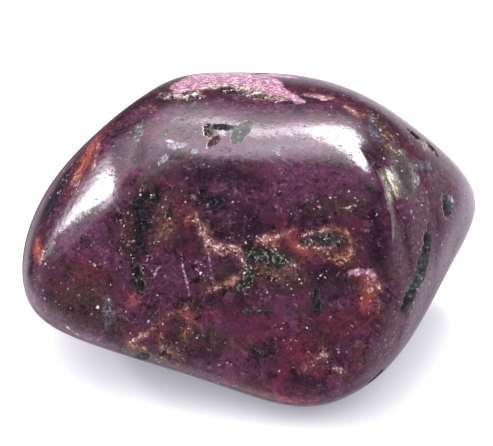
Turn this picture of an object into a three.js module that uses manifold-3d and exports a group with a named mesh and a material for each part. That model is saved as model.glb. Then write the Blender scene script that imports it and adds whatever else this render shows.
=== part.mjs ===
// Raw ruby: one tumbled and polished lump of ruby still in its dark matrix, resting on its flattest side.
//
// The stone is described from its heart, a point inside it. Tumbling has worn a broken chunk into a
// pillow, so the skin is the rounded meeting of flat worn sides. Soft waves, chipped scoops and small
// pits, where softer grains fell out, lie on that skin.
//
// Lengths are millimetres and angles are degrees. +Z is up, +X runs along the longest extent and -Y is
// the front. An azimuth of 0 faces the front, 90 the right and 180 the back; an elevation of 90 faces up.
import * as THREE from 'three';
import { mergeVertices } from 'three/addons/utils/BufferGeometryUtils.js';
import Module from 'manifold-3d';

// ---- driving dimensions ----

const HEART_HEIGHT = 8.0; // from the surface it rests on to the heart
const EDGE_SHARPNESS = 14; // how tightly neighbouring sides meet: higher is crisper

// Worn sides: [name, azimuth, elevation, distance from the heart].
const SIDES = [
  ['front', 10, 20, 9.3],
  ['brow', 5, 57, 10.15],
  ['brow top', 8, 72, 9.75],
  ['crown', -80, 87, 9.35],
  ['crown back', -160, 58, 11.05],
  ['left slope', -100, 42, 11.6],
  ['left brow', -46, 46, 11.3],
  ['left', -82, 16, 14.3],
  ['left foot', -58, -23, 15.5],
  ['right', 80, 6, 14.2],
  ['right brow', 84, 44, 13.5],
  ['right slope', 145, 46, 12.0],
  ['right end', 118, 11, 17.2],
  ['right foot', 90, -28, 13.4],
  ['corner foot', 58, -50, 13.25],
  ['front foot', -12, -56, 10.5],
  ['back', 180, 8, 10.2],
  ['back left', -140, 8, 13.4],
  ['back foot', 180, -45, 10.4],
  ['left lift', -80, -70, 9.6],
  ['rest', 0, -90, 8.2],
];

// Soft waves left by tumbling: [turns across x, y and z per radian of heading, phase in radians, height].
const WAVES = [
  [2.1, 3.3, -4.2, 0.4, 0.06],
  [-5.2, 2.4, 3.1, 1.9, 0.05],
  [3.9, -6.1, 5.0, 4.0, 0.035],
  [7.7, 5.8, 1.3, 2.6, 0.025],
  [-3.6, 9.4, -7.9, 5.1, 0.02],
];

// Chipped scoops. A crease runs from the first heading to the second, bowed by `bow`, and the skin
// drops off sharply on its right-hand side to `depth` at `width` from it, then fades back out.
const SCOOPS = [
  { from: [78, 48], to: [57, 2], width: 1.3, depth: 0.6, bow: 0.35 }, // beside the right brow
  { from: [-150, 48], to: [-176, 2], width: 1.9, depth: 0.55, bow: 0.6 }, // across the back
];

// Pits: [name, azimuth, elevation, length, width, depth, lean of the long axis clockwise from upright].
const PITS = [
  ['slot head', 78.7, 11.2, 2.9, 0.85, 0.6, 42],
  ['slot waist', 72.8, 6.7, 2.7, 1.05, 0.7, 50],
  ['slot foot', 65.7, 2.2, 2.4, 0.85, 0.55, 45],
  ['right hole', 93.5, 15.5, 1.6, 1.1, 0.55, 20],
  ['front slit', -19, 5.5, 2.1, 0.5, 0.45, -25],
  ['right slit', 43, 3.5, 1.6, 0.5, 0.4, 4],
  ['corner notch', 56.5, -18, 1.6, 0.7, 0.45, 40],
  ['foot notch', -14.5, -19, 1.1, 0.6, 0.4, 60],
  ['brow crack left', -25.5, 68, 1.2, 0.4, 0.35, -50],
  ['brow crack down', -11, 64, 1.2, 0.4, 0.35, 5],
  ['brow crack right', -15.5, 72.5, 1.4, 0.45, 0.35, 65],
  ['crown ledge start', -90, 60, 1.0, 0.5, 0.35, -20],
  ['crown ledge left', -92, 67, 1.4, 0.6, 0.4, -21],
  ['crown ledge middle', -141, 77, 1.7, 0.65, 0.4, -71],
  ['crown ledge right', 166, 80, 1.7, 0.7, 0.4, 56],
  ['crown ledge end', 117, 73, 1.9, 0.5, 0.35, 7],
  ['rim nick', 104, 34.5, 1.2, 0.5, 0.4, 10],
  ['lower rim nick', 105, 28, 1.2, 0.5, 0.4, 35],
  ['back slot', -168, 24, 3.0, 0.8, 0.55, 65],
  ['back slot tail', 180, 19, 2.0, 0.7, 0.5, 45],
  ['back hole', 152, 12, 1.5, 1.1, 0.5, 0],
  ['left hole', -104, 12, 1.6, 0.9, 0.45, 50],
  ['left slit', -122, 30, 2.0, 0.5, 0.4, -30],
];

const PIT_RAGGEDNESS = 0.22; // how far a pit's wall strays from an ellipsoid, as a share of its radius

// ---- how finely the faces follow the surface ----

const SKIN_DETAIL = 19; // splits of each icosahedron edge
const SKIN_STRETCH = new THREE.Vector3(1.4, 1.05, 1); // evens out the faces of a stone longer than tall
const PIT_DETAIL = 1;
const PROBE_STEP = 0.5; // degrees between the headings that give the slope of the skin
const MERGE_TOLERANCE = 1e-4;
const BED_SIZE = 60; // block below the resting plane that trims the stone flat

// ---- the form, as a distance from the heart in each heading ----

function heading(azimuth, elevation) {
  const turn = THREE.MathUtils.degToRad(azimuth);
  const rise = THREE.MathUtils.degToRad(elevation);
  return new THREE.Vector3(
    Math.sin(turn) * Math.cos(rise),
    -Math.cos(turn) * Math.cos(rise),
    Math.sin(rise),
  );
}

const sides = SIDES.map(([, azimuth, elevation, distance]) => ({
  facing: heading(azimuth, elevation),
  distance,
}));

// A power mean of the flat sides: on a side it is that side's plane, and between sides it rounds over.
function wornRadius(way) {
  let sum = 0;
  for (const { facing, distance } of sides) {
    sum += Math.max(0, way.dot(facing) / distance) ** EDGE_SHARPNESS;
  }
  return sum ** (-1 / EDGE_SHARPNESS);
}

function waveHeight(way) {
  let height = 0;
  for (const [x, y, z, phase, amplitude] of WAVES) {
    height += amplitude * Math.sin(way.x * x + way.y * y + way.z * z + phase);
  }
  return height;
}

const scoops = SCOOPS.map((scoop) => {
  const start = heading(...scoop.from);
  const end = heading(...scoop.to);
  const across = new THREE.Vector3().crossVectors(start, end).normalize();
  const middle = new THREE.Vector3().addVectors(start, end).normalize();
  const along = new THREE.Vector3().crossVectors(across, middle);
  return { ...scoop, across, middle, along, halfAngle: start.angleTo(end) / 2 };
});

function scoopDepth(way, radius) {
  let depth = 0;
  for (const scoop of scoops) {
    const ahead = way.dot(scoop.middle);
    const reach = Math.atan2(way.dot(scoop.along), ahead) / scoop.halfAngle;
    const fade = ahead > 0 ? Math.max(0, 1 - reach ** 2) ** 2 : 0;
    const offset = Math.asin(way.dot(scoop.across)) * radius - scoop.bow * (1 - reach ** 2);
    if (fade > 0 && offset > 0) {
      const share = offset / scoop.width;
      depth += scoop.depth * fade * share * Math.exp(1 - share);
    }
  }
  return depth;
}

function skinPoint(way) {
  const worn = wornRadius(way);
  const radius = worn - scoopDepth(way, worn) + waveHeight(way);
  return way.clone().multiplyScalar(radius).add(new THREE.Vector3(0, 0, HEART_HEIGHT));
}

// ---- solids ----

const kernel = await Module();
kernel.setup();

function solidOf(geometry) {
  const bare = new THREE.BufferGeometry();
  bare.setAttribute('position', geometry.getAttribute('position'));
  if (geometry.index) bare.setIndex(geometry.index);
  const merged = mergeVertices(bare, MERGE_TOLERANCE);
  return new kernel.Manifold(new kernel.Mesh({
    numProp: 3,
    vertProperties: new Float32Array(merged.getAttribute('position').array),
    triVerts: new Uint32Array(merged.getIndex().array),
  }));
}

function geometryOf(solid) {
  const mesh = solid.getMesh();
  const geometry = new THREE.BufferGeometry();
  geometry.setAttribute('position', new THREE.BufferAttribute(new Float32Array(mesh.vertProperties), 3));
  geometry.setIndex(new THREE.BufferAttribute(new Uint32Array(mesh.triVerts), 1));
  return geometry;
}

function skinSolid() {
  const ball = new THREE.IcosahedronGeometry(1, SKIN_DETAIL);
  const places = ball.getAttribute('position');
  const place = new THREE.Vector3();
  for (let i = 0; i < places.count; i++) {
    place.fromBufferAttribute(places, i).multiply(SKIN_STRETCH).normalize();
    place.copy(skinPoint(place));
    places.setXYZ(i, place.x, place.y, place.z);
  }
  return solidOf(ball);
}

function roughen(ball, phase) {
  const places = ball.getAttribute('position');
  const place = new THREE.Vector3();
  for (let i = 0; i < places.count; i++) {
    place.fromBufferAttribute(places, i);
    const stray = Math.sin(5 * place.x + 3 * place.y + phase) * Math.cos(4 * place.y - 6 * place.z);
    place.multiplyScalar(1 + PIT_RAGGEDNESS * stray);
    places.setXYZ(i, place.x, place.y, place.z);
  }
}

// A ragged ellipsoid centred on the skin, lying in it, with its long axis leaning from upright.
function pitSolid([, azimuth, elevation, length, width, depth, lean]) {
  const centre = skinPoint(heading(azimuth, elevation));
  const above = skinPoint(heading(azimuth, elevation + PROBE_STEP));
  const beside = skinPoint(heading(azimuth + PROBE_STEP, elevation));
  const up = above.sub(centre).normalize();
  const out = beside.sub(centre).cross(up).normalize();
  const side = new THREE.Vector3().crossVectors(up, out);
  const frame = new THREE.Matrix4().makeBasis(side, up, out).setPosition(centre);
  const pit = new THREE.IcosahedronGeometry(1, PIT_DETAIL);
  roughen(pit, azimuth);
  pit.scale(width / 2, length / 2, depth);
  pit.rotateZ(THREE.MathUtils.degToRad(-lean));
  pit.applyMatrix4(frame);
  return solidOf(pit);
}

function bedSolid() {
  const bed = new THREE.BoxGeometry(BED_SIZE, BED_SIZE, BED_SIZE);
  bed.translate(0, 0, -BED_SIZE / 2);
  return solidOf(bed);
}

function stoneGeometry() {
  let stone = skinSolid().subtract(bedSolid());
  for (const pit of PITS) {
    stone = stone.subtract(pitSolid(pit));
  }
  const geometry = geometryOf(stone);
  geometry.computeBoundingBox();
  const middle = geometry.boundingBox.getCenter(new THREE.Vector3());
  geometry.translate(-middle.x, -middle.y, -geometry.boundingBox.min.z);
  return geometry;
}

// ---- the part ----

const polishedRuby = new THREE.MeshStandardMaterial({
  color: 0x54304a, // plum, the ruby seen through a dark matrix
  roughness: 0.15,
  metalness: 0,
  flatShading: true,
});

const stone = new THREE.Mesh(stoneGeometry(), polishedRuby);
stone.name = 'stone';

const rawRuby = new THREE.Group();
rawRuby.add(stone);

export default rawRuby;
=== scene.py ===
"""A raw ruby: one tumbled and polished lump, with a finer skin and finish than its solid has.

The stone is described from its heart, a point inside it, just as its solid is: worn flat sides that
round into each other, soft waves, two chipped scoops and some pits. Minerals lie in it as strokes, lines
and patches on the skin, and a heading (azimuth, elevation) from the heart says where. An azimuth of 0
faces the front, 90 the right and 180 the back; an elevation of 90 faces up. The form and the strokes are
in millimetres, and everything that goes to Blender is in metres.
"""
import math

import bpy
import numpy as np
from mathutils import Matrix, Vector


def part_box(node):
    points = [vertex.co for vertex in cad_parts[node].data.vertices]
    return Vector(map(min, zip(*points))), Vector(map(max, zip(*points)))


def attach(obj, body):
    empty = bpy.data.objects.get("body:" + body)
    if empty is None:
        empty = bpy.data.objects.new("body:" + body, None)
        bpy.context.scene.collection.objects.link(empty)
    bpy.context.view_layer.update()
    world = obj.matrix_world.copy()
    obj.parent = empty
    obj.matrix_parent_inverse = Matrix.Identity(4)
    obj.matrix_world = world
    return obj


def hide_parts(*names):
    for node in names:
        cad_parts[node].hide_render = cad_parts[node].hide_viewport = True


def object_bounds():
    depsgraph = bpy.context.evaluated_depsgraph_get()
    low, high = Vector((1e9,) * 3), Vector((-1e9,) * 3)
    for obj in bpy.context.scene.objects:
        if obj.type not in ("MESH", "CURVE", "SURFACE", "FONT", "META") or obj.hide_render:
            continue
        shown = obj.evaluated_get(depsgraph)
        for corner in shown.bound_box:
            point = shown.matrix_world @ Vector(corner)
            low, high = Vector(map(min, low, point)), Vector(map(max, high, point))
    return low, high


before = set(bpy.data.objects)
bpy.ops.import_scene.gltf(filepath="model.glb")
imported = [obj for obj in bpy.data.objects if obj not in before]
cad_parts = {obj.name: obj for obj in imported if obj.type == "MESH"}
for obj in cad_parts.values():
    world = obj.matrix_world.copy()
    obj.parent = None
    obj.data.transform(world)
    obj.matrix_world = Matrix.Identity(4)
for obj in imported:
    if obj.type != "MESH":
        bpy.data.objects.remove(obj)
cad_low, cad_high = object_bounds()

MM = 0.001

# ---- the form ----

HEART_HEIGHT = 8.0  # from the surface it rests on to the heart
EDGE_SHARPNESS = 14  # how tightly neighbouring sides meet: higher is crisper

# Worn sides: (name, azimuth, elevation, distance from the heart).
SIDES = [
    ("front", 10, 20, 9.3),
    ("brow", 5, 57, 10.15),
    ("brow top", 8, 72, 9.75),
    ("crown", -80, 87, 9.35),
    ("crown back", -160, 58, 11.05),
    ("left slope", -100, 42, 11.6),
    ("left brow", -46, 46, 11.3),
    ("left", -82, 16, 14.3),
    ("left foot", -58, -23, 15.5),
    ("right", 80, 6, 14.2),
    ("right brow", 84, 44, 13.5),
    ("right slope", 145, 46, 12.0),
    ("right end", 118, 11, 17.2),
    ("right foot", 90, -28, 13.4),
    ("corner foot", 58, -50, 13.25),
    ("front foot", -12, -56, 10.5),
    ("back", 180, 8, 10.2),
    ("back left", -140, 8, 13.4),
    ("back foot", 180, -45, 10.4),
    ("left lift", -80, -70, 9.6),
    ("rest", 0, -90, 8.2),
]

# Soft waves left by tumbling: (turns across x, y and z per radian of heading, phase, height).
WAVES = [
    (2.1, 3.3, -4.2, 0.4, 0.06),
    (-5.2, 2.4, 3.1, 1.9, 0.05),
    (3.9, -6.1, 5.0, 4.0, 0.035),
    (7.7, 5.8, 1.3, 2.6, 0.025),
    (-3.6, 9.4, -7.9, 5.1, 0.02),
]

# Chipped scoops: a crease runs from the first heading to the second, bowed to its right, and the skin
# drops off on that side to `depth` at `width` from it, then fades back out. A higher easing fades the
# second end of the crease sooner.
SCOOPS = [
    {"from": (78, 48), "to": (57, 2), "width": 1.3, "depth": 0.6, "bow": 0.35, "easing": 4},
    {"from": (-150, 48), "to": (-176, 2), "width": 1.9, "depth": 0.55, "bow": 0.6, "easing": 2},
]

# Pits: (name, azimuth, elevation, length, width, depth, lean of the long axis clockwise from upright, how
# full of dark dirt it is).
PITS = [
    ("slot head", 78.7, 11.2, 2.9, 0.85, 0.6, 42, 0.2),
    ("slot waist", 72.8, 6.7, 2.7, 1.05, 0.7, 50, 0.2),
    ("slot foot", 65.7, 2.2, 2.4, 0.85, 0.55, 45, 0.3),
    ("right hole", 93.5, 15.5, 1.6, 1.1, 0.55, 20, 0.6),
    ("front slit", -19, 5.5, 2.1, 0.5, 0.45, -25, 1),
    ("right slit", 43, 3.5, 1.6, 0.5, 0.4, 4, 1),
    ("corner notch", 56.5, -18, 1.6, 0.7, 0.45, 40, 1),
    ("foot notch", -14.5, -19, 1.1, 0.6, 0.4, 60, 1),
    ("brow crack left", -25.5, 68, 1.2, 0.4, 0.35, -50, 0.5),
    ("brow crack down", -11, 64, 1.2, 0.4, 0.35, 5, 0.5),
    ("brow crack right", -15.5, 72.5, 1.4, 0.45, 0.35, 65, 0.5),
    ("crown ledge start", -90, 60, 1.0, 0.5, 0.35, -20, 0.3),
    ("crown ledge left", -92, 67, 1.4, 0.6, 0.4, -21, 0.25),
    ("crown ledge middle", -141, 77, 1.7, 0.65, 0.4, -71, 0.1),
    ("crown ledge right", 166, 80, 1.7, 0.7, 0.4, 56, 0.2),
    ("crown ledge end", 117, 73, 1.9, 0.5, 0.35, 7, 0.15),
    ("rim nick", 104, 34.5, 1.2, 0.5, 0.4, 10, 0.15),
    ("lower rim nick", 105, 28, 1.2, 0.5, 0.4, 35, 0.5),
    ("back slot", -168, 24, 3.0, 0.8, 0.55, 65, 1),
    ("back slot tail", 180, 19, 2.0, 0.7, 0.5, 45, 1),
    ("back hole", 152, 12, 1.5, 1.1, 0.5, 0, 1),
    ("left hole", -104, 12, 1.6, 0.9, 0.45, 50, 1),
    ("left slit", -122, 30, 2.0, 0.5, 0.4, -30, 1),
]

# ---- how finely the mesh follows it ----

SKIN_DETAIL = 98  # splits of each icosahedron edge, which puts the points 0.15 mm apart
SKIN_STRETCH = np.array((1.4, 1.05, 1.0))  # evens out the faces of a stone longer than tall
SKIN_LEAN = np.array((0.06, -0.2, 0.12))  # draws more of them to the front and the brow
PROBE_STEP = 0.5  # degrees between the headings that give the slope of the skin
PIT_REACH = 1.5  # mm out or in from its own patch of skin, beyond which a pit presses nothing
PIT_RAGGEDNESS = 0.16  # how far its outline strays from an oval, as a share of its radius
PIT_ROUNDNESS = 0.7  # power of its bowl: lower gives steeper walls and a flatter floor
FAR_OUTSIDE = -9.0  # mm inside a pit or a stroke, for places nowhere near one


def heading(azimuth, elevation):
    turn, rise = math.radians(azimuth), math.radians(elevation)
    return np.array((math.sin(turn) * math.cos(rise), -math.cos(turn) * math.cos(rise), math.sin(rise)))


def unit(vectors):
    return vectors / np.linalg.norm(vectors, axis=-1, keepdims=True)


def worn_radius(ways):
    """A power mean of the flat sides: on a side it is that side's plane, and between sides it rounds over."""
    total = np.zeros(len(ways))
    for _, azimuth, elevation, distance in SIDES:
        total += np.maximum(0, ways @ heading(azimuth, elevation) / distance) ** EDGE_SHARPNESS
    return total ** (-1 / EDGE_SHARPNESS)


def wave_height(ways):
    height = np.zeros(len(ways))
    for x, y, z, phase, rise in WAVES:
        height += rise * np.sin(ways @ np.array((x, y, z)) + phase)
    return height


def scoop_depth(ways, radius):
    depth = np.zeros(len(ways))
    for scoop in SCOOPS:
        start, end = heading(*scoop["from"]), heading(*scoop["to"])
        across = unit(np.cross(start, end))
        middle = unit(start + end)
        half_angle = math.acos(start @ end) / 2
        ahead = ways @ middle
        reach = np.arctan2(ways @ np.cross(across, middle), ahead) / half_angle
        fade = np.maximum(0, 1 - reach ** 2) ** np.where(reach > 0, scoop["easing"], 2) * (ahead > 0)
        offset = np.arcsin(np.clip(ways @ across, -1, 1)) * radius - scoop["bow"] * (1 - reach ** 2)
        widths = np.maximum(0, offset) / scoop["width"]
        depth += scoop["depth"] * fade * widths * np.exp(1 - widths)
    return depth


def skin_points(ways):
    """The points of the skin in these headings, cut flat where the stone rests."""
    worn = worn_radius(ways)
    radius = worn - scoop_depth(ways, worn) + wave_height(ways)
    sinking = np.maximum(-ways[:, 2], 1e-6)
    radius = np.where(ways[:, 2] < 0, np.minimum(radius, HEART_HEIGHT / sinking), radius)
    return ways * radius[:, None] + np.array((0, 0, HEART_HEIGHT))


def skin_point(azimuth, elevation):
    return skin_points(heading(azimuth, elevation)[None])[0]


def skin_frame(azimuth, elevation):
    """A place on the skin with its sideways, upward and outward directions."""
    centre = skin_point(azimuth, elevation)
    up = unit(skin_point(azimuth, elevation + PROBE_STEP) - centre)
    out = unit(np.cross(skin_point(azimuth + PROBE_STEP, elevation) - centre, up))
    return centre, np.cross(up, out), up, out


def geodesic_ball(splits):
    """Headings and triangles of an icosahedron with its faces split evenly, stretched to suit the stone."""
    golden = (1 + math.sqrt(5)) / 2
    corners = [(s, t * golden, 0) for s in (-1, 1) for t in (-1, 1)]
    corners = np.array([np.roll(corner, turn) for corner in corners for turn in range(3)], float)
    edge = 2.1  # its edges are 2 long, and no other corners are this close
    near = np.linalg.norm(corners[:, None] - corners[None], axis=-1) < edge
    faces = [
        (a, b, c)
        for a in range(12) for b in range(a + 1, 12) for c in range(b + 1, 12)
        if near[a, b] and near[b, c] and near[a, c]
    ]
    steps = [(i, j) for i in range(splits + 1) for j in range(splits + 1 - i)]
    number = {step: k for k, step in enumerate(steps)}
    grid = np.array(steps, float) / splits
    cells = [(number[i, j], number[i + 1, j], number[i, j + 1]) for i, j in steps if i + j < splits]
    cells += [
        (number[i + 1, j], number[i + 1, j + 1], number[i, j + 1])
        for i, j in steps if i + j < splits - 1
    ]
    points, triangles = [], []
    for a, b, c in faces:
        if np.cross(corners[b] - corners[a], corners[c] - corners[a]) @ corners[a] < 0:
            b, c = c, b
        sheet = corners[a] + grid[:, :1] * (corners[b] - corners[a]) + grid[:, 1:] * (corners[c] - corners[a])
        triangles.append(np.array(cells) + len(steps) * len(points))
        points.append(sheet)
    points, triangles = np.concatenate(points), np.concatenate(triangles)
    _, first, again = np.unique(np.round(points, 6), axis=0, return_index=True, return_inverse=True)
    return unit(points[first] * SKIN_STRETCH + SKIN_LEAN), again.reshape(-1)[triangles]


def sink_pits(points):
    """Presses the pits into the skin. Also says how many mm inside a pit each point is, and how dirty."""
    inside, grime = np.full(len(points), FAR_OUTSIDE), np.ones(len(points))
    for _, azimuth, elevation, length, width, depth, lean, dirt in PITS:
        centre, side, up, out = skin_frame(azimuth, elevation)
        tilt = math.radians(lean)
        along = math.cos(tilt) * up + math.sin(tilt) * side
        athwart = math.cos(tilt) * side - math.sin(tilt) * up
        offset = points - centre
        u, v, w = offset @ athwart / (width / 2), offset @ along / (length / 2), offset @ out
        outline = 1 + PIT_RAGGEDNESS * np.sin(5 * v + 3 * u + azimuth) * np.cos(4 * u - 6 * v)
        outline += PIT_RAGGEDNESS / 2 * np.sin(9 * v + lean)
        reach = np.hypot(u, v) / outline
        near = np.abs(w) < PIT_REACH
        drop = np.where(near & (reach < 1), depth * np.maximum(0, 1 - reach ** 2) ** PIT_ROUNDNESS, 0)
        points = points - drop[:, None] * out
        here = np.where(near, (1 - reach) * width / 2, FAR_OUTSIDE)
        grime = np.where(here > inside, dirt, grime)
        inside = np.maximum(inside, here)
    return points, inside, grime


# ---- the minerals ----

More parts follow.
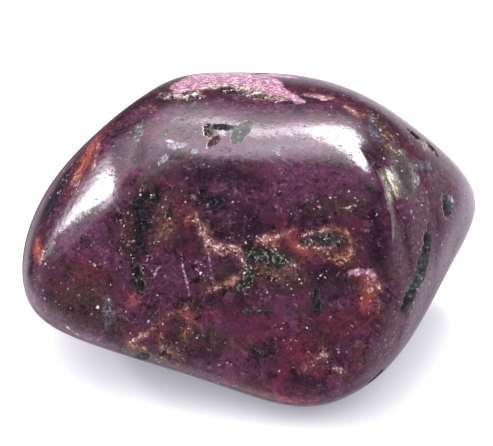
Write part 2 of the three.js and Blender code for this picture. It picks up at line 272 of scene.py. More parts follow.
# Each mineral is a list of strokes on the skin, and a stroke runs through (azimuth, elevation, half width
# in mm, less than 0 for a stroke so thin that only its ragged parts show). Its colours are its dark,
# common, pale and odd grains. Soft is how far its edge blends and ragged how far the edge strays, in mm.
# Cover is how well it hides the ground, gaps how much of it is missing, sparkle how many painted glints it
# has, dull its roughness, and a halo stains the ground this many mm around it.
MINERALS = {
    "olive_stain": {
        "colours": ("#382628", "#4a312f", "#5e443d", "#402d2f"), "soft": 0.7, "ragged": 1.3, "cover": 0.7,
        "gaps": 0.36, "sparkle": 0.15, "dull": 0.2,
        "strokes": [
            [(-36, -3, 0.9), (-31, 0, 1.1), (-27, -5, 1.3), (-22, -8, 0.9)],
            [(-2, -10, 0.8), (6, -12, 0.8), (16, -13, 0.5)],
            [(-14, 37, 0.6), (-9, 31, 0.8), (-15, 26, 0.9), (-18, 20, 0.6)],
            [(-26, 36, 0.5), (-28, 26, 0.4), (-24, 14, 0.6)],
            [(-40, 4.5, 0.35), (-30, 6, 0.4), (-25, 8, 0.3)],
            [(100, 48, 0.8), (92, 42, 1.1), (86, 36, 1.2), (82, 30, 0.9)],
            [(104, 40, 0.4), (102, 34, 0.6), (100, 28, 0.6), (99, 20, 0.4)],
            [(60, 31, 0.6), (55, 33, 0.9), (51, 34, 0.5)],
            [(39, 10, 0.7), (33, 12, 0.9), (27, 11, 0.7)],
            [(-62, 49.5, 0.6), (-56, 46.7, 0.6), (-50, 44, 0.3)],
            [(-80, 51.8, 0.5), (-76, 54, 0.4)],
            [(-67, 21, 0.8), (-63, 15, 0.8)],
            [(62, 12, 0.9), (66, 8, 0.6)],
            [(150, 30, 1.6), (170, 38, 1.2)],
            [(-150, 10, 1.8), (-130, 2, 1.3)],
            [(-170, -12, 1.5), (160, -20, 1.5)],
        ],
    },
    "crimson_glow": {
        "colours": ("#4a1c2c", "#5c2537", "#6e3543", "#511f32"), "soft": 0.8, "ragged": 1.1, "cover": 0.8,
        "gaps": 0.3, "sparkle": 0.05, "dull": 0.08,
        "strokes": [
            [(33, -9, 0.7), (39, -11, 0.9), (43, -9, 0.5)],
            [(16, -4, 0.6), (24, -6, 0.9), (30, -7, 0.6)],
            [(55, 6, 0.8), (53, -1, 1.1), (49, -3, 0.9), (44, -3, 0.5)],
            [(-35, 7, 0.5), (-31, 6, 0.6)],
            [(-20, -1, 0.5), (-24, 1, 0.3)],
            [(-78, 35, 0.8), (-70, 31, 1.3), (-62, 26, 1.4), (-56, 21, 0.9)],
            [(-8, 31, 0.7), (-12, 35, 0.5)],
            [(100, 50, 0.4), (112, 56, 0.5)],
            [(86, 24, 0.6), (84, 20, 0.4)],
            [(14, -24, 0.5), (28, -24, 0.7), (38, -23, 0.5)],
            [(-120, 20, 1.2), (-108, 26, 0.9)],
            [(165, 5, 1.3), (178, -3, 1.0)],
            [(130, -5, 1.0), (122, -14, 0.9)],
        ],
    },
    "violet_corundum": {
        "colours": ("#4e2944", "#5e334f", "#6f435f", "#55294b"), "soft": 0.8, "ragged": 0.9, "cover": 0.8,
        "gaps": 0.3, "sparkle": 0.05, "dull": 0.07,
        "strokes": [
            [(-31, 11.5, 0.5), (-27, 10, 0.5)],
            [(-43, 8.5, 0.5), (-41, 13, 0.8), (-37, 17.5, 0.6)],
            [(36, 42, 0.9), (46, 40, 0.9), (60, 38, 0.7)],
            [(36, 50, 0.7), (48, 47, 0.9), (57, 43, 0.6)],
            [(-10, 8, 0.6), (-12, 2, 0.5)],
            [(170, 50, 1.0), (-170, 44, 1.2)],
        ],
    },
    # Darker plum patches. They are partly the stone's own tone and partly painted shade just under the
    # overhead reflection and beside the right brow's crease, where the surface turns away from the lamps.
    "aubergine_and_shade": {
        "colours": ("#211220", "#2c1829", "#3c2334", "#271523"), "soft": 0.6, "ragged": 0.5, "cover": 0.85,
        "gaps": 0.25, "sparkle": 0.0, "dull": 0.06,
        "strokes": [
            [(65, 31, 0.2), (62.5, 26, 0.5), (61, 20, 0.7), (60, 14, 0.6), (64, 13, 0.2)],
            [(50, 13, 0.5), (46, 12, 0.6), (44, 9, 0.4)],
            [(-14, 46, 0.5), (-3, 49, 0.8), (7, 51, 0.8), (16, 49, 0.6), (28, 46, 0.3)],
            [(-68, 20, 0.5), (-64, 17, 0.7)],
            [(-62.5, 14.5, 0.6), (-59.5, 11.5, 0.7)],
            [(150, -2, 1.0), (140, 4, 0.8)],
            [(-158, 14, 0.8), (-150, 22, 0.7)],
        ],
    },
    # Greyish mauve on the right side and along the low front left. It is partly the stone's own tone and
    # partly a painted sheen where these sides mirror the lit table.
    "mauve_and_sheen": {
        "colours": ("#4b3541", "#5c4651", "#775e6a", "#553d49"), "soft": 0.9, "ragged": 0.8, "cover": 0.85,
        "gaps": 0.2, "sparkle": 0.05, "dull": 0.08,
        "strokes": [
            [(88, 40, 0.3), (84, 30, 0.7), (83, 22, 1.2), (79, 14, 1.5), (75, 6, 1.5), (70, -2, 1.4),
             (66, -9, 0.9)],
            [(93, 24, 0.8), (93, 12, 1.2), (88, 0, 1.2)],
            [(69, 21, 0.3), (66, 13, 0.6), (65, 4, 0.5), (61, -3, 0.8), (58, -9, 0.9), (54, -15, 0.5)],
            [(-44, 1, 0.3), (-42, -3, 0.5), (-39, -7, 0.5), (-34, -11, 0.4), (-27, -15.5, 0.3)],
            [(-165, 30, 1.2), (-155, 38, 1.0)],
            [(150, 6, 1.2), (158, 12, 1.0)],
        ],
    },
    "brown_grit": {
        "colours": ("#281c1b", "#4f3830", "#94745c", "#624435"), "soft": 0.4, "ragged": 1.0, "cover": 0.8,
        "gaps": 0.44, "sparkle": 0.3, "dull": 0.2,
        "strokes": [
            [(-21, 34, 0.2), (-15, 30, 0.4), (-13, 25, 0.35), (-17, 20, 0.2)],
            [(100, 50, 0.12), (97, 46, 0.25), (91, 42, 0.4), (86, 38.5, 0.35), (83, 33, 0.1)],
            [(-80, 52, 0.3), (-76, 54, 0.2)],
            [(-9.5, -12.5, 0.1), (-7.3, -15.7, 0.35), (-3, -17, 0.4)],
            [(-9, -19, 0.35), (-3.9, -20.3, 0.35)],
            [(24, 14, 0.25), (31, 12.5, 0.35), (36, 13.5, 0.2)],
            [(46, 25, 0.12), (52, 24.5, 0.2), (55.5, 21, 0.25), (54, 16.5, 0.25)],
            [(-35, 68, 0.12), (-28, 67.5, 0.2), (-20, 67, 0.14), (-14, 65.5, 0.1), (-8, 62, 0.05)],
            [(-20, 70, 0.06), (-16, 73, 0.12), (-9, 74, 0.05)],
            [(-112, 51, 0.3), (-106, 53, 0.15)],
            [(58, 6, 0.2), (57, 2, 0.3)],
            [(155, 44, 0.6), (170, 40, 0.5)],
            [(-125, 10, 0.6), (-132, 16, 0.4)],
        ],
    },
    "rusty_orange": {
        "colours": ("#3c211c", "#7a4f3c", "#c39a74", "#82483a"), "soft": 0.16, "ragged": 0.8, "cover": 0.85,
        "gaps": 0.43, "sparkle": 0.3, "dull": 0.3, "halo": 0.35,
        "strokes": [
            [(50, 25.8, 0.0), (53.5, 24.8, 0.08), (55, 22.3, 0.15), (55, 19.8, 0.24), (53.2, 17, 0.28),
             (51.3, 15.8, 0.26), (48.5, 16.6, 0.1)],
            [(44, 19.2, 0.06), (47, 18.6, 0.15), (50, 17.6, 0.14)],
            [(-17, 24, 0.08), (-14.5, 23, 0.1)],
            [(-15, 28.5, 0.06), (-13, 27.5, 0.08)],
            [(-2, -12, 0.16), (0, -9, 0.1)],
            [(13, 7.5, 0.12), (16, 9, 0.16)],
            [(31, 12.5, 0.1), (35, 13.3, 0.08)],
            [(-62.5, 24, 0.25), (-59, 22.3, 0.35), (-56.5, 21.5, 0.2)],
            [(-18, -15, 0.1), (-14, -16, 0.08)],
            [(-9.5, -11.5, 0.03), (-9, -13.5, 0.05)],
            [(160, 46, 0.3), (172, 40, 0.25)],
            [(-128, 14, 0.3), (-122, 8, 0.2)],
        ],
    },
    "vermilion_glow": {
        "colours": ("#582828", "#85403b", "#b06f5f", "#93403a"), "soft": 0.35, "ragged": 0.7, "cover": 0.85,
        "gaps": 0.36, "sparkle": 0.12, "dull": 0.1,
        "strokes": [
            [(-75, 33, 0.25), (-70.5, 31, 0.55), (-66, 28.5, 0.65), (-62.5, 26, 0.45), (-58.5, 23.8, 0.15)],
            [(-53, 5.5, 0.3), (-49, 4.5, 0.4), (-47, 3.3, 0.1)],
            [(-34, 7, -0.3), (-31, 6.5, -0.2)],
            [(27, 23.8, 0.15), (30, 23.6, 0.25)],
            [(37.5, 23.6, 0.2), (39.8, 21, 0.3), (42, 18.8, 0.28), (40.8, 17, 0.15)],
            [(56, 10, 0.2), (56.3, 8.3, 0.32), (55.8, 6, 0.35), (54, 2.5, 0.25)],
            [(-4.5, 31.3, 0.2), (-6, 30, 0.12)],
            [(-20, -1.2, 0.2), (-18.5, -2, 0.1)],
            [(-1, -7, 0.15), (-1.5, -5, 0.2)],
            [(20, -25.5, -0.1), (27, -25, 0.0), (36, -24.3, 0.05), (41, -23, -0.1)],
            [(-116, 22, 0.4), (-108, 25, 0.3)],
            [(172, 3, 0.45), (178, -2, 0.3)],
        ],
    },
    "lilac_corundum": {
        "colours": ("#714a5b", "#9f6d84", "#e3c1cf", "#b17c93"), "soft": 0.12, "ragged": 0.5, "cover": 0.95,
        "gaps": 0.35, "sparkle": 0.3, "dull": 0.16,
        "strokes": [
            [(-103, 60, 0.6), (-112, 59, 1.2), (-124, 59.5, 1.6), (-137, 60, 1.65), (-150, 62.5, 1.6)],
            [(-150, 62.5, 1.6), (-165, 66, 1.45), (176, 70, 1.1), (158, 72, 0.7), (142, 72, 0.45)],
            [(-128, 51.5, 0.5), (-138, 50, 0.8), (-152, 51, 1.1), (-168, 54, 0.9), (176, 57, 0.5),
             (165, 58, 0.2)],
            [(142, 72, 0.42), (127, 70.5, 0.3), (115, 68, 0.12)],
            [(129, 66, 0.12), (123, 63.2, 0.3), (117.6, 60.7, 0.22)],
            [(53, 11.8, 0.12), (57, 11.6, 0.2), (57.8, 9.5, 0.1)],
            [(-150, 40, 0.3), (-162, 34, 0.4), (-170, 30, 0.2)],
        ],
    },
    "green_mica": {
        "colours": ("#101311", "#222924", "#535a50", "#303733"), "soft": 0.08, "ragged": 0.25, "cover": 0.93,
        "gaps": 0.2, "sparkle": 0.1, "dull": 0.6,
        "strokes": [
            [(26, 78, 0.28), (17, 75, 0.5), (12, 71, 0.56), (10, 67, 0.42), (8.5, 65.3, 0.22)],
            [(-14, 73.4, 0.08), (-3, 74, 0.2), (8, 74, 0.4)],
            [(-76, 68.4, 0.2), (-82, 69, 0.12)],
            [(81, 12.6, 0.25), (76.8, 9.2, 0.6), (72.8, 6.4, 0.8), (68.7, 3.6, 0.65), (65, 1, 0.35)],
            [(-166, 55, 0.35), (-172, 51, 0.3)],
        ],
    },
    "slate_spots": {
        "colours": ("#1f2127", "#393b44", "#73767f", "#51545b"), "soft": 0.25, "ragged": 0.7, "cover": 0.8,
        "gaps": 0.38, "sparkle": 0.25, "dull": 0.25,
        "strokes": [
            [(-62, 49.5, 0.3), (-56, 47, 0.4), (-52, 45, 0.3)],
            [(100, 48, 0.2), (94, 46.5, 0.25), (88, 45, 0.25), (86, 42, 0.15)],
            [(94.5, 17, 0.45), (95, 14.5, 0.35)],
            [(82.7, 29.4, 0.2), (84, 27.5, 0.12)],
            [(90, 31, 0.3), (96, 27, 0.3)],
            [(-26, -1.8, 0.2), (-25, -5.3, 0.34), (-24.2, -8.5, 0.15)],
            [(72, 3, 0.3), (68, -1, 0.3)],
            [(79.5, 11.5, 0.1), (76, 8.8, 0.35), (72.3, 6, 0.5), (68, 3.2, 0.35)],
            [(-46.5, 8, 0.14), (-44, 5.8, 0.2), (-43.5, 4, 0.1)],
            [(140, 20, 0.5), (148, 12, 0.6)],
            [(-135, 24, 0.4), (-140, 18, 0.4)],
        ],
    },
    "black_vein": {
        "colours": ("#08080b", "#131217", "#35343d", "#1d1c25"), "soft": 0.25, "ragged": 0.6, "cover": 0.97,
        "gaps": 0.22, "sparkle": 0.04, "dull": 0.2, "halo": 0.35,
        "strokes": [
            [(-25.8, 34, 0.3), (-27, 31, 0.35), (-26.8, 29, 0.45), (-24.4, 26.5, 0.5), (-22.9, 22, 0.35)],
            [(-21.3, 24.4, 0.2), (-22.9, 20.6, 0.3), (-21.2, 16.8, 0.3), (-22.1, 13, 0.22)],
            [(-21.5, 9.4, 0.15), (-20, 5.2, 0.25), (-17.4, 1.6, 0.12)],
            [(-23.2, 37, 0.2), (-21.5, 34.5, 0.25)],
            [(-14, 32.5, 0.08), (-15.5, 30, 0.14)],
            [(43.8, 6, 0.08), (43, 3.5, 0.16), (42.6, 0.5, 0.1)],
            [(43, -9.5, 0.15), (44, -11.5, 0.12)],
            [(3, 39, 0.3), (8, 40.5, 0.2), (5, 35.5, 0.18)],
            [(38.5, 30.5, 0.12), (41, 30, 0.1)],
            [(66, 34, 0.12), (66.5, 31, 0.2), (66, 28.5, 0.08)],
            [(-67.5, 19.5, 0.15), (-64, 17, 0.3)],
            [(-62.5, 14.5, 0.3), (-59.5, 11.5, 0.35)],
        ],
    },
    "dark_matrix": {
        "colours": ("#0a0a0b", "#1b191b", "#73705f", "#2a2c2f"), "soft": 0.12, "ragged": 0.65, "cover": 0.95,
        "gaps": 0.27, "sparkle": 0.3, "dull": 0.4, "halo": 0.3,
        "strokes": [
            [(18, 21, 0.16), (24.5, 19.3, 0.5), (30.3, 17.8, 0.52), (35.5, 16.3, 0.3), (37.8, 15.3, 0.08)],
            [(19.5, 17, 0.2), (21, 12.8, 0.45), (19.6, 9, 0.48), (17.2, 6.2, 0.2)],
            [(41.6, 23.2, 0.16), (45.8, 23.2, 0.36), (50, 22.2, 0.42), (53, 21, 0.16)],
            [(-45.3, 8.5, 0.08), (-45.2, 6.4, 0.12), (-45, 4.6, 0.08)],
            [(22, -13.5, 0.14), (25, -14, 0.1)],
            [(3, -11.5, 0.1), (6, -11.8, 0.12)],
            [(18, -2.6, 0.08), (24, -2, 0.1), (29, -1.8, 0.05)],
            [(-142, 5, 0.5), (-135, 0, 0.4)],
            [(-165, 25, 0.5), (-178, 20, 0.4)],
            [(128, 25, 0.3), (134, 20, 0.35), (137, 12, 0.2)],
            [(155, -14, 0.5), (168, -18, 0.35)],
            [(-100, -12, 0.4), (-88, -16, 0.3)],
        ],
    },
    "salmon_vein": {
        "colours": ("#452a32", "#8f6561", "#e3c6c0", "#9d605a"), "soft": 0.12, "ragged": 0.65, "cover": 0.92,
        "gaps": 0.42, "sparkle": 0.55, "dull": 0.2, "halo": 0.45,
        "strokes": [
            [(-6.5, 34.8, 0.03), (-3.7, 32.6, 0.2), (-1.5, 30, 0.1), (0.5, 27.5, 0.18), (3.6, 23.4, 0.28)],
            [(3.6, 23.4, 0.28), (6.4, 21, 0.36), (10, 20.6, 0.3), (13.7, 20.8, 0.26), (16, 22, 0.08)],
            [(16, 20.5, 0.08), (18.5, 17, 0.12), (19.5, 14.5, 0.05)],
            [(16.8, 10.4, 0.02), (15, 8.5, 0.1), (11, 6.4, 0.07), (5, 3.4, 0.03), (0.8, 0.9, 0.0)],
            [(-1, -1.8, 0.0), (-4, -4.6, 0.0), (-8, -5.4, -0.02), (-10.5, -7.8, -0.02), (-12.7, -10.8, 0.02)],
            [(-12.7, -10.8, 0.02), (-15.7, -12.6, 0.08), (-18.2, -14.2, 0.12)],
            [(24, 24.8, 0.03), (27.5, 25.6, 0.08), (32.7, 25.6, 0.05), (36, 26.5, 0.06), (38.6, 27.4, 0.03)],
            [(38, 15.2, 0.08), (35, 13.8, 0.05)],
            [(40, 21.4, 0.03), (46.3, 20.4, 0.06), (50, 20.3, 0.04)],
            [(42.5, 25.4, 0.0), (47, 26.2, 0.0), (52, 25.6, -0.05), (54.8, 23, -0.1)],
            [(57.6, 10.8, 0.06), (58.3, 8.6, 0.08), (58.2, 6.6, 0.05)],
            [(56.6, 9.8, 0.05), (56.3, 8, 0.14), (56, 6, 0.05)],
            [(-46, 9, 0.03), (-47.2, 6.5, 0.07), (-45.5, 3.4, 0.05)],
            [(-72, 35.5, 0.05), (-65, 33, 0.06), (-57, 29.5, 0.04)],
            [(42.4, -10.3, 0.06), (43, -11.3, 0.08), (39.8, -13.2, 0.14), (36.9, -16, 0.08)],
            [(44.4, -14, 0.08), (47, -14.5, 0.1)],
            [(129, 65, 0.06), (122, 61.5, 0.1), (116.5, 58.6, 0.05)],
            [(106.5, 55.3, 0.05), (101.4, 53, 0.12), (98, 51.2, 0.05)],
            [(-148, 35, 0.2), (-158, 30, 0.3), (-164, 22, 0.12)],
            [(140, 40, 0.15), (149, 34, 0.25), (160, 33, 0.1)],
        ],
    },
    # Cream crumbs along the crown's chipped ledge. Their near-white grains and many glints are partly painted
    # highlights from the chipped edges.
    "cream_ledge_and_glints": {
        "colours": ("#2c1d1c", "#77564f", "#fff8f4", "#dcc0b6"), "soft": 0.08, "ragged": 1.3, "cover": 0.95,
        "gaps": 0.42, "sparkle": 0.9, "dull": 0.3, "halo": 0.35,
        "strokes": [
            [(-94, 55, 0.1), (-92.5, 60, 0.28), (-91, 64, 0.34), (-98.6, 65.4, 0.32), (-111, 66, 0.3)],
            [(-111, 66, 0.3), (-124, 67.3, 0.32), (-141, 68.8, 0.3), (-150, 71.6, 0.3), (-158, 74, 0.34)],
            [(-158, 74, 0.34), (-170, 77, 0.36), (170, 79.4, 0.4), (158, 77.4, 0.34), (135, 75, 0.2)],
            [(87, 37.6, 0.1), (88.5, 36.3, 0.14), (86.6, 35.6, 0.08)],
        ],
    },
    "pale_threads": {
        "colours": ("#6e4c5e", "#a88a99", "#e6d4dc", "#c9a4b4"), "soft": 0.05, "ragged": 0.2, "cover": 0.85,
        "gaps": 0.43, "sparkle": 0.3, "dull": 0.15,
        "strokes": [
            [(-6.8, 17, 0.05), (-5, 10.8, 0.06), (-2.9, 5.8, 0.05), (-1.4, 1.2, 0.01)],
            [(4, 18.8, 0.06), (5.4, 12.6, 0.05), (6.8, 6.6, 0.01)],
            [(-34.5, -9.5, 0.01), (-33, -11.4, 0.06), (-31.5, -12.8, 0.02)],
            [(53, 32.2, 0.01), (56.8, 30.6, 0.05), (59, 30.4, 0.06), (61.8, 32.6, 0.03)],
            [(-14, -8, 0.02), (-11, -4, 0.03), (-9, -1, 0.02)],
            [(78, 22, 0.05), (77.5, 19.8, 0.06)],
            [(-14, 10, 0.04), (-15, 6.5, 0.08)],
            [(-25, 17, 0.06), (-23.5, 17.8, 0.05)],
            [(-170, 34, 0.06), (-176, 26, 0.06), (178, 20, 0.02)],
            [(-118, 36, 0.05), (-126, 30, 0.06)],
        ],
    },
    "bluish_flecks": {
        "colours": ("#454552", "#787a86", "#c9ccd6", "#9c9aa6"), "soft": 0.1, "ragged": 0.6, "cover": 0.8,
        "gaps": 0.42, "sparkle": 0.3, "dull": 0.15,
        "strokes": [
            [(-42, 54, 0.14), (-36, 53.6, 0.26), (-31, 55, 0.22), (-28, 57.5, 0.16)],
            [(-20, 57, 0.14), (-17, 56.5, 0.1)],
            [(-30.5, 48.2, 0.18), (-30.5, 46.4, 0.14)],
            [(42, 58.3, 0.14), (43.2, 55, 0.08), (44.3, 51.2, 0.05)],
            [(95.5, 17.5, 0.14), (97.5, 15, 0.12)],
            [(-13, 70.6, 0.16), (-7, 68.8, 0.22)],
            [(-150, 48, 0.2), (-144, 44, 0.14)],
        ],
    },
    "weathered_biotite": {
        "colours": ("#1c1418", "#2f2429", "#54463f", "#281e21"), "soft": 0.4, "ragged": 0.5, "cover": 0.75,
        "gaps": 0.2, "sparkle": 0.05, "dull": 0.75,
        "strokes": [
            [(88, 37.5, 0.3), (85.5, 34, 0.6), (83, 30.5, 0.65), (81.5, 27, 0.4)],
            [(69.5, 24.5, 0.0), (68.3, 21, 0.2), (67, 17.5, 0.15), (66, 14, 0.0)],
            [(-100, 4, 0.6), (-94, -2, 0.4)],
            [(160, 26, 0.5), (168, 20, 0.6)],
        ],
    },
    # Tan grains in the dimple beside the right brow's crease. They are painted pale along the crease as part
    # of the dimple's highlight, so this is partly a painted highlight.
    "tan_dimple_and_highlight": {
        "colours": ("#403a33", "#6f6656", "#b9ad92", "#8a8468"), "soft": 0.3, "ragged": 0.5, "cover": 0.85,
        "gaps": 0.36, "sparkle": 0.1, "dull": 0.09,
        "strokes": [
            [(77, 36.5, 0.1), (75.5, 34, 0.4), (74, 31.5, 0.5), (71.5, 29, 0.35), (67.5, 27, 0.1)],
            [(78.5, 32, 0.3), (76.5, 28, 0.3)],
            [(104, 31, 0.25), (101, 30, 0.2)],
        ],
    },
    # Not a mineral: places where the painted glints crowd. Its cover is 0, so it paints only highlights.
    "glint_beds": {
        "colours": ("#4a2c3c", "#6a4658", "#b090a0", "#5a3a4c"), "soft": 0.35, "ragged": 0.6, "cover": 0.0,
        "gaps": 0.4, "sparkle": 0.7, "dull": 0.1,
        "strokes": [
            [(-5, 40.5, 0.25), (0, 40.3, 0.2)],
            [(11, 41.5, 0.2), (14, 41.3, 0.2)],
            [(-10, 36, 0.3), (-6, 34.5, 0.3)],
            [(-34, 8, 0.25), (-31, 7, 0.3)],
            [(-22, 7, 0.2), (-17, 9, 0.3), (-14, 11, 0.2)],
            [(-62, 49.5, 0.5), (-55, 46.5, 0.5)],
            [(20, 6, 0.3), (30, 4, 0.3)],
            [(12, 26, 0.2), (22, 27, 0.4), (30, 21, 0.3)],
            [(24, 13, 0.4), (34, 10, 0.4), (46, 12, 0.2)],
            [(-30, 22, 0.3), (-24, 12, 0.3), (-18, 14, 0.2)],
            [(-2, 15, 0.2), (4, 8, 0.3)],
            [(39, 33, 0.2), (44, 35, 0.2)],
            [(47, -9, 0.2), (49, -12, 0.2)],
            [(95, 13, 0.12), (96, 17, 0.12)],
            [(-170, 10, 0.6), (-158, 4, 0.6)],
            [(120, 10, 0.4), (112, 3, 0.4)],
        ],
    },
}
LAST_GLOW = "aubergine_and_shade"  # the minerals up to this one lie deep, so fibres and seams cross them


def stroke_inside(places, strokes):
    """How far each place lies inside the nearest stroke, in mm; negative outside."""
    inside = np.full(len(places), FAR_OUTSIDE)
    for stroke in strokes:
        route = [(skin_point(azimuth, elevation), half) for azimuth, elevation, half in stroke]
        for (start, start_half), (end, end_half) in zip(route, route[1:]):
            run = end - start
            along = np.clip((places - start) @ run / (run @ run), 0, 1)
            gap = np.linalg.norm(places - start - along[:, None] * run, axis=1)
            inside = np.maximum(inside, start_half + along * (end_half - start_half) - gap)
    return inside


ways, triangles = geodesic_ball(SKIN_DETAIL)
smooth_skin = skin_points(ways)
points, pit_inside, grime = sink_pits(smooth_skin)

box_low, box_high = (np.array(corner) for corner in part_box("stone"))
skin_low, skin_high = smooth_skin.min(0), smooth_skin.max(0)


def settle(place):
    """Turns millimetres into the solid's own frame, in metres, and fits them to its exact box."""
    return box_low + (np.asarray(place) - skin_low) / (skin_high - skin_low) * (box_high - box_low)


# Each point keeps how many mm it lies inside each mineral and the pits, for the finish to draw them.
mesh = bpy.data.meshes.new("polished_ruby")
mesh.from_pydata(settle(points).tolist(), [], triangles.tolist())
mesh.polygons.foreach_set("use_smooth", [True] * len(mesh.polygons))
mesh.update()
spread = {name: stroke_inside(smooth_skin, mineral["strokes"]) for name, mineral in MINERALS.items()}
spread["pits"], spread["grime"] = pit_inside, grime
for name, inside in spread.items():
    mesh.attributes.new(name, "FLOAT", "POINT").data.foreach_set("value", inside.astype(np.float32))
ruby_lump = bpy.data.objects.new("polished_ruby", mesh)
bpy.context.scene.collection.objects.link(ruby_lump)

# ---- the finish ----

EASED = {"interpolation_type": "SMOOTHSTEP"}
COLOURED = {"data_type": "RGBA"}


def linear(colour):
    """An sRGB hex colour as linear red, green, blue and alpha."""
    channels = [int(colour[i:i + 2], 16) / 255 for i in (1, 3, 5)]
    return tuple(c / 12.92 if c <= 0.04045 else ((c + 0.055) / 1.055) ** 2.4 for c in channels) + (1.0,)


def add(tree, kind, inputs=(), **settings):
    """Adds one node and gives its outputs. Settings are its own, and inputs give its sockets, in order or
    by name, a value or another node's output."""
    new = tree.nodes.new("ShaderNode" + kind)
    for name, value in settings.items():
        setattr(new, name, value)
    for socket, value in inputs.items() if isinstance(inputs, dict) else enumerate(inputs):
        if isinstance(value, bpy.types.NodeSocket):
            tree.links.new(value, new.inputs[socket])
        else:
            new.inputs[socket].default_value = value
    return new.outputs


# Ruby in dark matrix, tumbled and polished: opaque, gemmy only in places. It gives the eye a plum ground
# mottled with wine and aubergine, broken crystal shards, and a wet gloss that fine pits interrupt.
ruby = bpy.data.materials.new("tumbled_ruby_in_dark_matrix")
ruby.use_nodes = True
tree = ruby.node_tree
shader = tree.nodes["Principled BSDF"]
shader.inputs["IOR"].default_value = 1.76  # corundum
shader.inputs["Coat Weight"].default_value = 0.07  # the haze of fine scratches that the polish left
shader.inputs["Coat Roughness"].default_value = 0.42
POLISHED = 0.08  # roughness of the hard ground, as tumbling leaves it
BROKEN = 0.6  # roughness of broken grains that the polish never reached

# Sizes in mm, as in ruby matrix: interlocked crystals, blotches, broken crumbs and grains, and how far
# ragged edges, seams, cracks, crowded and gritty places and the waves of the polish run before they change.
CRYSTAL, BLOTCH, CRUMB, GRAIN = 1.3, 0.45, 0.2, 0.17
EDGE, SEAM, CRACK, CROWD, GRITTY, RIPPLE = 0.7, 1.6, 1.0, 1.8, 2.4, 0.6
# Fibres and specks are finer on a real stone. They are drawn as coarse as they need to show.
FIBRE, SPECK = 0.2, 0.12
RELIEF = 0.014  # depth of the waves
SPECK_DENT = 2.5  # times as deep as a wave


def share(*parts):
    """How much of something shows: the product of its parts. A part is a share, or (value, start, full)
    where it eases in, with its share before the start and from full on if they aren't 0 and 1."""
    whole = None
    for part in parts:
        if isinstance(part, tuple):
            part = add(tree, "MapRange", part, **EASED)[0]
        whole = part if whole is None else add(tree, "Math", (whole, part), operation="MULTIPLY")[0]
    return whole


def lay(under, over, *parts):
    """One colour over another, as far as the share of these parts."""
    return add(tree, "Mix", {0: share(*parts), 6: under, 7: over}, **COLOURED)[2]


object_place = add(tree, "TexCoord")["Object"]
place = add(tree, "VectorMath", {0: object_place, "Scale": 1 / MM}, operation="SCALE")[0]

# Noise that the whole finish shares, three fields of each.
noises = []
for size, detail, roughness in ((BLOTCH, 4, 0.6), (GRAIN, 3, 0.7)):
    noise = add(tree, "TexNoise", {"Vector": place, "Scale": 1 / size, "Detail": detail,
                                   "Roughness": roughness})["Color"]
    noises.append(add(tree, "SeparateColor", [noise]))
blotches, grains = noises

# Places that wander, to draw bent and ragged patterns: (mm between turns, detail, mm that they wander).
wanderings = []
for size, detail, far in ((1.4, 3, 1.6), (0.15, 2, 0.2)):
    drift = add(tree, "TexNoise", {"Vector": place, "Scale": 1 / size, "Detail": detail})["Color"]
    wanderings.append(add(tree, "VectorMath", (drift, (far, far, far), place), operation="MULTIPLY_ADD")[0])
bent, ragged = wanderings


def broken_bits(size):
    """Broken bits of this size in mm. Each bit has three chance numbers of its own, from 0 to 1."""
    bits = add(tree, "TexVoronoi", {"Vector": ragged, "Scale": 1 / size})["Color"]
    return add(tree, "SeparateColor", [bits])


# Grit is grains with crumbs among them.
crumbs = broken_bits(CRUMB)
grit = []
for crumb, grain in zip(crumbs, grains):
    grain = add(tree, "Math", (grain, 0.15), operation="SUBTRACT")[0]
    grit.append(add(tree, "Math", (crumb, 0.3, grain), operation="MULTIPLY_ADD")[0])

# The ground: clouds of colour, as (colour, size in mm, where its noise starts and is full, cover).
CLOUDS = [
    ("#603255", 3.6, 0.46, 0.62, 0.75),
    ("#5e2237", 2.4, 0.49, 0.64, 0.75),
    ("#2c1a28", 2.0, 0.48, 0.62, 0.8),
    ("#46322b", 1.8, 0.54, 0.66, 0.65),
    ("#2c2930", 1.3, 0.56, 0.66, 0.6),
    ("#120c12", 1.0, 0.57, 0.66, 0.85),
    ("#7f5a6c", 0.9, 0.59, 0.70, 0.45),
]
ground = linear("#452536")
for number, (tint, size, start, full, cover) in enumerate(CLOUDS):
    cloud = add(tree, "TexNoise", {"Vector": bent, "W": 3.7 * number, "Scale": 1 / size, "Detail": 5,
                                   "Roughness": 0.6}, noise_dimensions="4D")[0]
    ground = lay(ground, linear(tint), (cloud, start, full, 0, cover))

# Smooth gemmy patches lie beside gritty ones, which have more pale and dark grains.
gritty = add(tree, "TexNoise", {"Vector": bent, "Scale": 1 / GRITTY, "Detail": 2})[0]
gritty = share((gritty, 0.4, 0.6, 0.5, 1.35))
ground = lay(ground, linear("#8a6478"), (grit[1], 0.57, 0.72, 0, 0.28), gritty)
ground = lay(ground, linear("#150d14"), (grit[2], 0.38, 0.26, 0, 0.13), gritty)

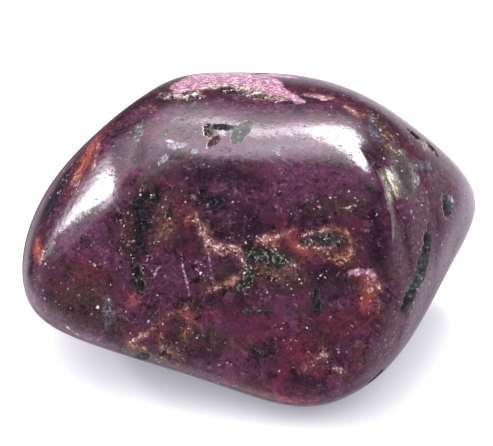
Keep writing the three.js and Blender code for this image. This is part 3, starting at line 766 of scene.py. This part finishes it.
# Interlocked crystals, each cleaved its own way, so their fine fibres run in different directions. They,
# the grains and the blotches make it lighter and darker. The first shift brings the usual tone to 0, the
# second dims it, and then 1 more is twice as light.
crystals = add(tree, "TexVoronoi", {"Vector": bent, "Scale": 1 / CRYSTAL})["Color"]
lie = add(tree, "VectorMath", {0: crystals, "Scale": 2.0}, operation="SCALE")[0]
turned = add(tree, "VectorRotate", {"Vector": place, "Rotation": lie}, rotation_type="EULER_XYZ")[0]
combed = add(tree, "VectorMath", (turned, (1, 0.7, 0.2)), operation="MULTIPLY")[0]
tone = add(tree, "TexNoise", {"Vector": combed, "Scale": 1 / FIBRE, "Detail": 2, "Roughness": 0.6})[0]
for noise, strength in ((grains[0], 0.55), (blotches[0], 1.7)):
    tone = add(tree, "Math", (noise, strength, tone), operation="MULTIPLY_ADD")[0]
for strength, shift in ((1.75, -2.84), (gritty, -0.42)):
    tone = add(tree, "Math", (tone, strength, shift), operation="MULTIPLY_ADD")[0]
tone = add(tree, "Math", (2.0, tone), operation="POWER")[0]

# Hair-thin pale seams and black cracks wander through it, as (colour, size, its detail, which noise it is,
# where its line is full and gone, the blotches that it keeps to, where they start and are full, cover).
SEAMS = [
    ("#a88596", SEAM, 1, 9.0, 0.002, 0.01, blotches[1], 0.52, 0.62, 0.3),
    ("#120c11", CRACK, 3, 4.0, 0.004, 0.02, blotches[2], 0.5, 0.6, 0.6),
]

# Where the noise turns a mineral's dark grains into common ones, then some of these into odd and pale ones.
COMMON, ODD, PALE = (0.36, 0.48), (0.52, 0.6), (0.57, 0.67)
GAP_EDGE = 0.06  # how softly a gap in a mineral ends
HALO_COVER = 0.55  # how well a stain at its deepest hides the ground

# The minerals, laid over the ground one after another. Each uses the noise fields in another order.
colour, sparkle, dullness = ground, 0.0, POLISHED
for number, (name, mineral) in enumerate(MINERALS.items()):
    inside = add(tree, "Attribute", attribute_name=name)["Fac"]
    stray = add(tree, "TexNoise", {"Vector": place, "W": 5.3 + 2.9 * number, "Scale": 1 / EDGE, "Detail": 5,
                                   "Roughness": 0.7}, noise_dimensions="4D")[0]
    stray = add(tree, "Math", (stray, 0.5), operation="SUBTRACT")[0]
    inside = add(tree, "Math", (stray, 2 * mineral["ragged"], inside), operation="MULTIPLY_ADD")[0]
    gap = share(blotches[(number + 1) % 3], 0.5)
    gap = add(tree, "Math", (grit[number % 3], 0.5, gap), operation="MULTIPLY_ADD")[0]
    gap = (gap, mineral["gaps"], mineral["gaps"] + GAP_EDGE)
    there = share((inside, -mineral["soft"], mineral["soft"]), gap)
    dark, common, pale, odd = (linear(tint) for tint in mineral["colours"])
    tint = lay(dark, common, (grit[(number + 1) % 3], *COMMON))
    tint = lay(tint, odd, (blotches[number % 3], *ODD))
    tint = lay(tint, pale, (grit[(number + 2) % 3], *PALE))
    if "halo" in mineral:
        stain = (inside, -mineral["halo"], 0, 0, HALO_COVER)
        colour = lay(colour, lay(dark, odd, 0.4), stain, (grains[number % 3], 0.4, 0.55))
    body = share(there, mineral["cover"])
    colour = lay(colour, tint, body)
    sparkle = add(tree, "Math", (sparkle, share(there, mineral["sparkle"])), operation="MAXIMUM")[0]
    dullness = add(tree, "Mix", {0: body, 2: dullness, 3: mineral["dull"]})[0]
    if name == LAST_GLOW:
        colour = add(tree, "VectorMath", {0: colour, "Scale": tone}, operation="SCALE")[0]
        for tint, size, detail, which, full, gone, patch, sparse, dense, cover in SEAMS:
            line = add(tree, "TexNoise", {"Vector": combed, "W": which, "Scale": 1 / size, "Detail": detail},
                       noise_dimensions="4D")[0]
            line = add(tree, "Math", (line, 0.5), operation="SUBTRACT")[0]
            line = add(tree, "Math", [line], operation="ABSOLUTE")[0]
            colour = lay(colour, linear(tint), (line, full, gone, 1, 0), (patch, sparse, dense, 0, cover))

# Glints: painted highlights, pale specks laid into the colour where tiny facets and pale crystals would
# sparkle. Real ones are finer; these are drawn as coarse as they need to show. Each layer is (size in mm,
# share of the bits that glint in open ground, more of them where the ground is crowded, more on a mineral
# that sparkles, cover).
PAINTED_GLINTS = [
    (0.10, 0.0006, 0.0045, 0.09, 0.62),
    (0.16, 0.0001, 0.0008, 0.013, 0.85),
]
crowd = add(tree, "TexNoise", {"Vector": place, "Scale": 1 / CROWD, "Detail": 3})[0]
crowd = share((crowd, 0.5, 0.68))
for size, lone, crowded, sparkling, cover in PAINTED_GLINTS:
    bits = broken_bits(size)
    chance = add(tree, "Math", (crowd, crowded, lone), operation="MULTIPLY_ADD")[0]
    chance = add(tree, "Math", (sparkle, sparkling, chance), operation="MULTIPLY_ADD")[0]
    lucky = add(tree, "Math", (bits[0], chance), operation="ADD")[0]
    tint = lay(linear("#f3e3e8"), linear("#d8c0a2"), (bits[2], 0.8, 0.9))
    tint = lay(tint, linear("#c79bae"), (bits[2], 0.45, 0.3))
    # Paints each lucky bit's pale tint into the base colour: a painted highlight.
    colour = lay(colour, tint, (lucky, 1.0, 1.001), (bits[1], 0, 1, 0.35 * cover, cover))

# Grains have fallen out. The bigger pits are in the mesh, with dark and pale rubble in them.
pits = add(tree, "Attribute", attribute_name="pits")["Fac"]
grime = add(tree, "Attribute", attribute_name="grime")["Fac"]
stray = add(tree, "Math", (grains[1], 0.5), operation="SUBTRACT")[0]
deep = add(tree, "Math", (stray, 0.35, pits), operation="MULTIPLY_ADD")[0]
rubble = lay(linear("#0b0b0c"), linear("#1d1e20"), (grit[0], 0.4, 0.55))
rubble = lay(rubble, linear("#3f4241"), (blotches[1], 0.53, 0.62))
rubble = lay(rubble, linear("#b4b2ac"), (grit[2], 0.66, 0.72))
colour = lay(colour, rubble, (deep, -0.05, 0.07), grime)

# The finest are dark specks.
speck = add(tree, "Math", (crowd, 0.02, broken_bits(SPECK)[0]), operation="MULTIPLY_ADD")[0]
speck = share((speck, 0.987, 0.989))
colour = lay(colour, linear("#120c10"), speck, 0.55)
tree.links.new(colour, shader.inputs["Base Color"])

# Polish: wet on the corundum, duller on the softer minerals and dull in the pits.
smear = add(tree, "Math", (grains[2], 0.4), operation="SUBTRACT")[0]
polish = add(tree, "Math", (smear, 0.12, dullness), operation="MULTIPLY_ADD")[0]
holes = add(tree, "Math", (share((pits, -0.08, 0), grime), speck), operation="MAXIMUM")[0]
polish = add(tree, "Mix", {0: holes, 2: polish, 3: BROKEN})[0]
tree.links.new(polish, shader.inputs["Roughness"])

# A faint waviness that the polish follows, and the specks as tiny dents.
ripple = add(tree, "TexNoise", {"Vector": place, "Scale": 1 / RIPPLE, "Detail": 4, "Roughness": 0.6})[0]
relief = add(tree, "Math", (speck, -SPECK_DENT, ripple), operation="MULTIPLY_ADD")[0]
bump = add(tree, "Bump", {"Height": relief, "Strength": 1.0, "Distance": RELIEF * MM})[0]
tree.links.new(bump, shader.inputs["Normal"])
mesh.materials.append(ruby)

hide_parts("stone")
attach(ruby_lump, "root")

# ---- the table, the light and the camera ----

LENS = 150  # mm
CAMERA_HEADING = (20, 30)
CAMERA_DISTANCE = 0.14
ABOVE_HEART = 0.3 * MM  # how far above the heart the camera looks
LAMP_DISTANCE, LAMP_GAP = 1.0, 0.02  # a halo's lamps stand one behind another
ROOM_LIGHT = 0.78  # even light from the room on all that isn't mirrored
MIRRORED_DARK = 0.03  # the room's unlit parts, as the polish mirrors them
PINKISH_WHITE = "#fbeaf8"  # the light of the dimmer lamps and of the room

heart = Vector(settle((0, 0, HEART_HEIGHT)))
scene = bpy.context.scene
scene.view_settings.view_transform = "Standard"

camera_data = bpy.data.cameras.new("camera")
camera_data.lens = LENS
camera_data.clip_start = 0.01
camera = bpy.data.objects.new("camera", camera_data)
aim = heart + Vector((0, 0, ABOVE_HEART))
camera.location = aim + Vector(heading(*CAMERA_HEADING)) * CAMERA_DISTANCE
camera.rotation_euler = (aim - camera.location).to_track_quat("-Z", "Y").to_euler()
scene.collection.objects.link(camera)
scene.camera = camera

# A table under white paper: matt, plain and a little bluish. The polish mirrors the room's own glow instead
# of it, which has the table in it.
paper = bpy.data.materials.new("matt_white_paper")
paper.use_nodes = True
sheet = paper.node_tree.nodes["Principled BSDF"]
sheet.inputs["Base Color"].default_value = linear("#f2f2f4")
sheet.inputs["Roughness"].default_value = 0.9
sheet.inputs["Emission Color"].default_value = linear("#eceeff")  # lit a little from below
sheet.inputs["Emission Strength"].default_value = 0.24

near_left, far_right = (-0.6, -0.6), (0.6, 0.8)
top = bpy.data.meshes.new("table")
corners = [(x, y, cad_low[2]) for x in (near_left[0], far_right[0]) for y in (near_left[1], far_right[1])]
top.from_pydata(corners, [], [(0, 2, 3, 1)])
top.materials.append(paper)
table = bpy.data.objects.new("table", top)
table.visible_glossy = False
scene.collection.objects.link(table)


def softbox(name, azimuth, elevation, width, height, radiance, roll=0.0, halo=(), tint="#ffffff"):
    """A lit panel that faces the stone, with fainter, wider ones behind it. Width and height are degrees as
    the stone sees them, and a halo is (times as wide, share of the radiance)."""
    for step, (wider, part) in enumerate(((1.0, 1.0),) + halo):
        distance = LAMP_DISTANCE + LAMP_GAP * step
        lamp = bpy.data.lights.new(name, "AREA")
        lamp.shape = "ELLIPSE"
        lamp.size = 2 * distance * math.tan(math.radians(wider * width / 2))
        lamp.size_y = 2 * distance * math.tan(math.radians(wider * height / 2))
        lamp.energy = part * radiance * math.pi * (math.pi / 4 * lamp.size * lamp.size_y)
        lamp.color = linear(tint)[:3]
        box = bpy.data.objects.new(name, lamp)
        way = Vector(heading(azimuth, elevation))
        box.location = heart + way * distance
        facing = (-way).to_track_quat("-Z", "Y").to_matrix()
        box.rotation_euler = (facing @ Matrix.Rotation(math.radians(roll), 3, "Z")).to_euler()
        scene.collection.objects.link(box)


def sky(name, azimuth, elevation, spread, strength):
    """Even light from a wide part of the room, which the polish doesn't mirror."""
    lamp = bpy.data.lights.new(name, "SUN")
    lamp.angle = math.radians(spread)
    lamp.energy = strength
    glow = bpy.data.objects.new(name, lamp)
    glow.rotation_euler = (-Vector(heading(azimuth, elevation))).to_track_quat("-Z", "Y").to_euler()
    glow.visible_glossy = False
    scene.collection.objects.link(glow)


softbox("overhead softbox", -132, 52, 54, 30, 0.8, halo=((1.15, 0.25), (1.3, 0.12)), tint=PINKISH_WHITE)
softbox("overhead softbox core", -150, 58, 34, 26, 1.0, halo=((1.3, 0.4),), tint=PINKISH_WHITE)
softbox("overhead softbox's near end", -98, 63, 32, 15, 0.6, halo=((1.25, 0.3),), tint=PINKISH_WHITE)
softbox("streak panel", -178, 62, 34, 11.5, 11, roll=-41, halo=((1.25, 0.12), (2.2, 0.04)))
softbox("streak's bloom", -162, 68, 22, 18, 0.9, halo=((1.4, 0.4),), tint=PINKISH_WHITE)
softbox("streak's left end", -158, 50, 14, 6, 2.4, roll=-10, halo=((1.5, 0.25),))
softbox("left panel", -92.8, 28, 21.5, 8.5, 11, roll=34, halo=((1.3, 0.15),))
softbox("left panel's low end", -98.8, 21, 9, 5.5, 8, roll=42, halo=((1.4, 0.15),), tint=PINKISH_WHITE)
softbox("left panel's far end", -76, 34.5, 20, 6, 4.8, roll=12, halo=((1.4, 0.15),), tint=PINKISH_WHITE)
softbox("right panel", 125.5, 24, 4.5, 16, 11)
sky("front glow", 0, 60, 90, 0.3)
sky("ceiling glow", -60, 80, 120, 2.0)

# The rest of what the polish mirrors, as (azimuth, full within and gone beyond these degrees of it,
# radiance, then the elevations where its top, and its foot if it has one, is gone and full).
MIRRORED = [
    (172, 14, 40, 1.0, (20, 3), (-44, -22)),  # the lit table and wall behind
    (-95, 15, 50, 1.0, (0, -18), (-56, -32)),  # the lit table at the left
    (-52, 18, 52, 0.5, (4, -16)),  # the lit table before its left end
    (0, 179, 180, 0.17, (-4, -18)),  # the shaded table all round
    (0, 179, 180, 0.3, (-30, -50)),  # the table nearest the stone
]

# Glows with no edge around the panels, as (azimuth, elevation, full within and gone beyond these degrees
# of it, radiance).
HAZES = [
    (-102, 32, 2, 18, 1.1),
    (-103, 20, 1, 8, 3.0),
    (-83, 32, 2, 13, 1.1),
    (-64, 34, 2, 13, 0.9),
]

world = bpy.data.worlds.new("studio")
world.use_nodes = True
room = world.node_tree
room.nodes.clear()
way = add(room, "TexCoord")["Generated"]
level = add(room, "VectorMath", (way, (1, 1, 0)), operation="MULTIPLY")[0]
level = add(room, "VectorMath", [level], operation="NORMALIZE")[0]
height = add(room, "SeparateXYZ", [way])[2]


def glow_towards(direction, azimuth, elevation, full, gone, radiance):
    """A round glow: `full` within so many degrees of a heading, and `gone` beyond so many."""
    close = add(room, "VectorMath", (direction, tuple(heading(azimuth, elevation))),
                operation="DOT_PRODUCT")["Value"]
    ends = math.cos(math.radians(gone)), math.cos(math.radians(full))
    return add(room, "MapRange", (close, *ends, 0, radiance), **EASED)[0]


glows = [glow_towards(way, *haze) for haze in HAZES]
for azimuth, full, gone, radiance, *ends in MIRRORED:
    glow = glow_towards(level, azimuth, 0, full, gone, radiance)
    for end in ends:
        rises = [math.sin(math.radians(elevation)) for elevation in end]
        slope = add(room, "MapRange", (height, *rises), **EASED)[0]
        glow = add(room, "Math", (glow, slope), operation="MULTIPLY")[0]
    glows.append(glow)
total = MIRRORED_DARK
for glow in glows:
    total = add(room, "Math", (total, glow), operation="ADD")[0]

mirrored = add(room, "Background", (linear("#faeefb"), total))[0]
even = add(room, "Background", ((1, 1, 1, 1), ROOM_LIGHT))[0]
glossy = add(room, "LightPath")["Is Glossy Ray"]
add(room, "OutputWorld", [add(room, "MixShader", (glossy, even, mirrored))[0]])
scene.world = world
